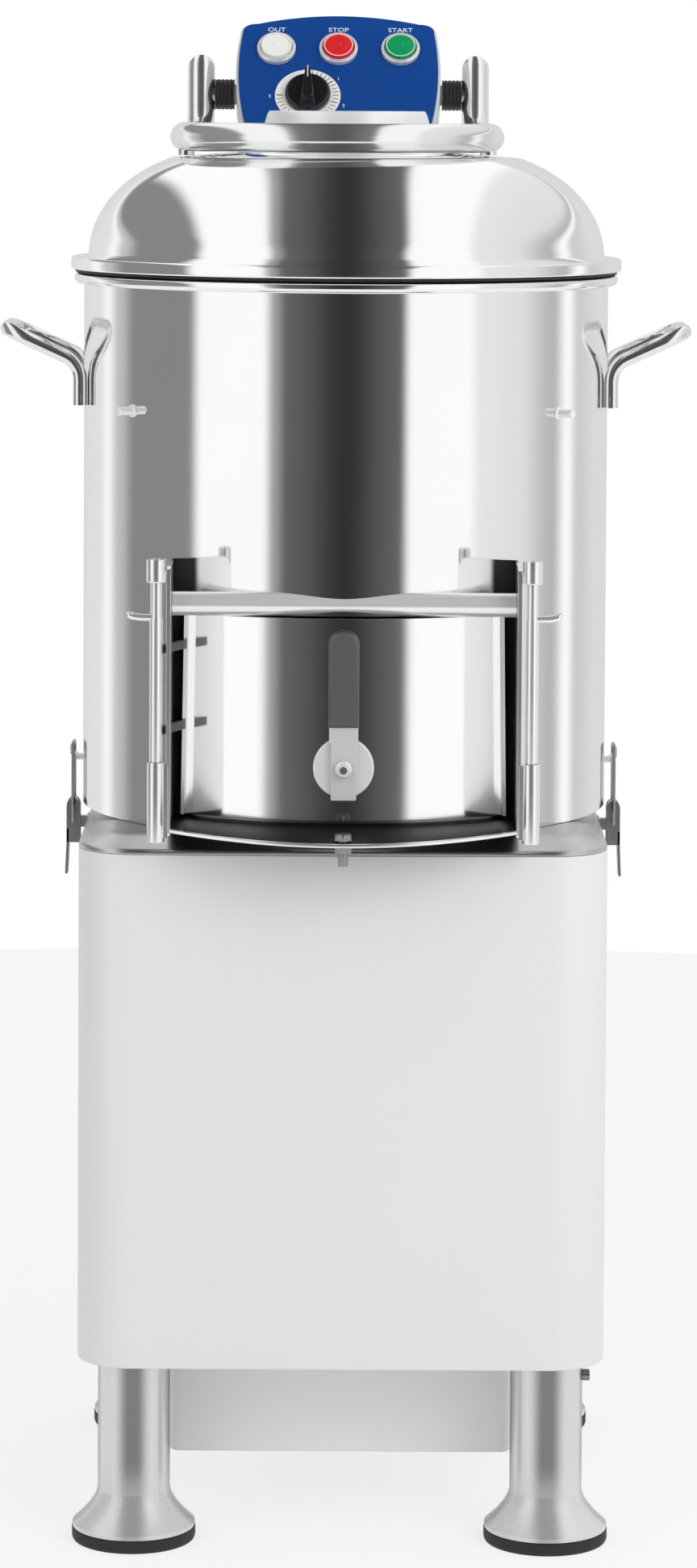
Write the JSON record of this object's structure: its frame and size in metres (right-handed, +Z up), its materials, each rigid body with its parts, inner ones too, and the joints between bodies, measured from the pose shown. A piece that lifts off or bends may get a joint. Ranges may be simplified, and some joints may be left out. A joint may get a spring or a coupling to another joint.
{
  "type": "potato peeler machine",
  "caption": "Floor-standing potato peeling machine: polished drum with hinged domed lid and swinging outlet door on a painted cabinet with bell-footed legs and a tilted control head.",
  "frame": {"origin": "on the floor, at the centre of the overall box, under the drum's axis", "axes": "+Z up, front (outlet and controls) towards -Y, +X to the right seen from the front"},
  "size_m": [0.4992, 0.5, 1.0768],
  "materials": {
    "polished_steel": "mirror polished stainless steel",
    "satin_steel": "satin stainless steel",
    "cabinet_paint": "pale grey paint, satin",
    "head_housing": "pale grey moulded plastic",
    "cast_iron": "dark cast iron",
    "motor_paint": "dark blue-grey machine paint",
    "abrasive": "dark abrasive grit on sheet steel",
    "rubber": "black rubber",
    "black_plastic": "black plastic",
    "grip_plastic": "dark grey plastic sleeve",
    "panel_blue": "blue satin front plate",
    "bezel": "bright bezel",
    "dial_white": "white scale plate",
    "knob_black": "black moulded knob",
    "cap_white": "white button cap",
    "cap_red": "red button cap",
    "cap_green": "green button cap"
  },
  "bodies": {
    "root": {"abrasive_liner": "abrasive", "back_panel": "cabinet_paint", "bearing_housing": "cast_iron", "bezel_out": "bezel", "bezel_start": "bezel", "bezel_stop": "bezel", "cabinet_shell": "cabinet_paint", "cabinet_top": "satin_steel", "cable_gland": "black_plastic", "control_box": "head_housing", "control_panel": "panel_blue", "control_post": "cabinet_paint", "crossbar": "satin_steel", "drain_pipe": "satin_steel", "drum": "polished_steel", "foot_pad_front_left": "rubber", "foot_pad_front_right": "rubber", "foot_pad_rear_left": "rubber", "foot_pad_rear_right": "rubber", "hinge_bush_left": "black_plastic", "hinge_bush_right": "black_plastic", "latch_base_left": "satin_steel", "latch_base_right": "satin_steel", "leg_front_left": "satin_steel", "leg_front_right": "satin_steel", "leg_rear_left": "satin_steel", "leg_rear_right": "satin_steel", "lower_cover": "cabinet_paint", "main_bearing": "satin_steel", "motor_body": "motor_paint", "outlet_chute": "polished_steel", "shaft_seal": "rubber", "side_handle_left": "satin_steel", "side_handle_right": "satin_steel", "timer_dial": "dial_white", "trough_bolt": "satin_steel", "v_belt": "rubber", "water_inlet": "satin_steel"},
    "lid": {"lid_dome": "polished_steel", "lid_gasket": "rubber", "lid_bail": "polished_steel"},
    "door": {"door_panel": "polished_steel", "door_seal": "rubber", "lever_stud": "satin_steel"},
    "door_lever": {"door_lever": "satin_steel", "lever_grip": "grip_plastic"},
    "locking_pin": {"locking_pin": "satin_steel"},
    "latch_lever_left": {"latch_lever_left": "satin_steel"},
    "latch_lever_right": {"latch_lever_right": "satin_steel"},
    "latch_wire_left": {"latch_wire_left": "satin_steel"},
    "latch_wire_right": {"latch_wire_right": "satin_steel"},
    "button_out": {"button_out": "cap_white"},
    "button_stop": {"button_stop": "cap_red"},
    "button_start": {"button_start": "cap_green"},
    "timer_knob": {"timer_knob": "knob_black"},
    "turntable": {"turntable": "abrasive", "main_shaft": "satin_steel", "large_pulley": "cast_iron"},
    "motor_rotor": {"motor_shaft": "satin_steel", "motor_pulley": "cast_iron"}
  },
  "joints": [
    {"name": "lid_hinge", "type": "hinge", "parent": "root", "child": "lid", "pos_m": [-0.007, 0.212, 1.016], "axis": [-1, 0, 0], "range_deg": [0, 115]},
    {"name": "door_hinge", "type": "hinge", "parent": "root", "child": "door", "pos_m": [-0.129, -0.205, 0.5155], "axis": [0, 0, -1], "range_deg": [0, 95]},
    {"name": "door_lever_turn", "type": "hinge", "parent": "door", "child": "door_lever", "pos_m": [0, -0.2016, 0.553], "axis": [0, 1, 0], "range_deg": [0, 90]},
    {"name": "locking_pin_lift", "type": "slide", "parent": "root", "child": "locking_pin", "axis": [0, 0, 1], "range_m": [0, 0.02]},
    {"name": "latch_left", "type": "hinge", "parent": "root", "child": "latch_lever_left", "pos_m": [-0.197, 0, 0.498], "axis": [0, 1, 0], "range_deg": [0, 150]},
    {"name": "latch_wire_left_swing", "type": "hinge", "parent": "latch_lever_left", "child": "latch_wire_left", "pos_m": [-0.197, 0, 0.486], "axis": [0, 1, 0], "range_deg": [-150, 0]},
    {"name": "latch_right", "type": "hinge", "parent": "root", "child": "latch_lever_right", "pos_m": [0.197, 0, 0.498], "axis": [0, -1, 0], "range_deg": [0, 150]},
    {"name": "latch_wire_right_swing", "type": "hinge", "parent": "latch_lever_right", "child": "latch_wire_right", "pos_m": [0.197, 0, 0.486], "axis": [0, -1, 0], "range_deg": [-150, 0]},
    {"name": "button_out_press", "type": "slide", "parent": "root", "child": "button_out", "axis": [0, 0.788, -0.6157], "range_m": [0, 0.0025], "stiffness_N_per_m": 600},
    {"name": "button_stop_press", "type": "slide", "parent": "root", "child": "button_stop", "axis": [0, 0.788, -0.6157], "range_m": [0, 0.0025], "stiffness_N_per_m": 600},
    {"name": "button_start_press", "type": "slide", "parent": "root", "child": "button_start", "axis": [0, 0.788, -0.6157], "range_m": [0, 0.0025], "stiffness_N_per_m": 600},
    {"name": "timer_turn", "type": "hinge", "parent": "root", "child": "timer_knob", "pos_m": [-0.0302, 0.16941, 1.01488], "axis": [0, 0.788, -0.6157], "range_deg": [0, 270]},
    {"name": "turntable_spin", "type": "hinge", "parent": "root", "child": "turntable", "pos_m": [0, 0, 0.511], "axis": [0, 0, 1], "continuous": true},
    {"name": "motor_spin", "type": "hinge", "parent": "root", "child": "motor_rotor", "pos_m": [0, 0.088, 0.089], "axis": [0, 0, 1], "continuous": true}
  ],
  "couplings": [
    {"joint": "latch_wire_left_swing", "follows": "latch_left", "ratio": -1},
    {"joint": "latch_wire_right_swing", "follows": "latch_right", "ratio": -1},
    {"joint": "motor_spin", "follows": "turntable_spin", "ratio": 3.2353}
  ]
}
